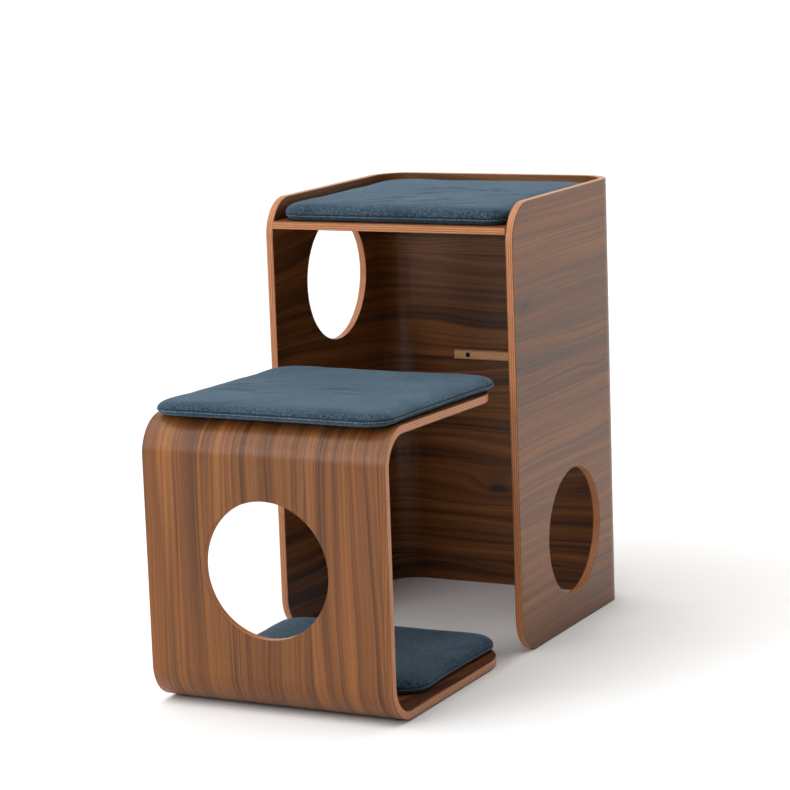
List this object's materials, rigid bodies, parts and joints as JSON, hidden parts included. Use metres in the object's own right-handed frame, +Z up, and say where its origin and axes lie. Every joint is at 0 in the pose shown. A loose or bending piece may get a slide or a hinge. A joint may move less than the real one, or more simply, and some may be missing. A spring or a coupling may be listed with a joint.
{
  "type": "cat tree",
  "caption": "Moulded plywood cat tree: a tall open-fronted tower with a cushioned shelf, and a C-shaped cushioned step that slides in between its sides; round doorways.",
  "frame": {"origin": "on the floor, midway across and midway between the step's front and the tower's back, with the step standing in front of the tower", "axes": "+X to the right seen from the front, +Y from the step towards the tower's back, +Z up"},
  "size_m": [0.424, 0.832, 0.7],
  "materials": {
    "walnut_ply": "walnut veneer, satin lacquer",
    "light_wood": "planed, clear oil",
    "black_steel": "blackened",
    "cushion_fabric": "blue-grey wool-blend felt cloth",
    "cushion_foam": "open-cell foam",
    "zip": "coil zip, dyed to match",
    "felt_pad": "pressed felt"
  },
  "bodies": {
    "tower": {"tower_shell": "walnut_ply", "tower_shelf": "walnut_ply", "shelf_dowel_left_front": "light_wood", "shelf_dowel_left_middle": "light_wood", "shelf_dowel_left_rear": "light_wood", "shelf_dowel_right_front": "light_wood", "shelf_dowel_right_middle": "light_wood", "shelf_dowel_right_rear": "light_wood", "shelf_dowel_back_left": "light_wood", "shelf_dowel_back_right": "light_wood", "back_cleat": "light_wood", "cleat_screw_left": "black_steel", "cleat_screw_right": "black_steel"},
    "shelf_cushion": {"shelf_cushion_cover": "cushion_fabric", "shelf_cushion_foam": "cushion_foam", "shelf_cushion_zip": "zip"},
    "step": {"step_shell": "walnut_ply", "step_pad_front_left": "felt_pad", "step_pad_front_right": "felt_pad", "step_pad_rear_left": "felt_pad", "step_pad_rear_right": "felt_pad"},
    "step_top_cushion": {"step_top_cushion_cover": "cushion_fabric", "step_top_cushion_foam": "cushion_foam", "step_top_cushion_zip": "zip"},
    "step_lower_cushion": {"step_lower_cushion_cover": "cushion_fabric", "step_lower_cushion_foam": "cushion_foam", "step_lower_cushion_zip": "zip"}
  },
  "joints": [
    {"name": "step_slide", "type": "slide", "parent": "tower", "child": "step", "axis": [0, 1, 0], "range_m": [-0.3, 0.402]},
    {"name": "shelf_cushion_lift", "type": "slide", "parent": "tower", "child": "shelf_cushion", "axis": [0, 0, 1], "range_m": [0, 0.15]},
    {"name": "step_top_cushion_lift", "type": "slide", "parent": "step", "child": "step_top_cushion", "axis": [0, 0, 1], "range_m": [0, 0.15]},
    {"name": "step_lower_cushion_lift", "type": "slide", "parent": "step", "child": "step_lower_cushion", "axis": [0, 0, 1], "range_m": [0, 0.15]}
  ]
}
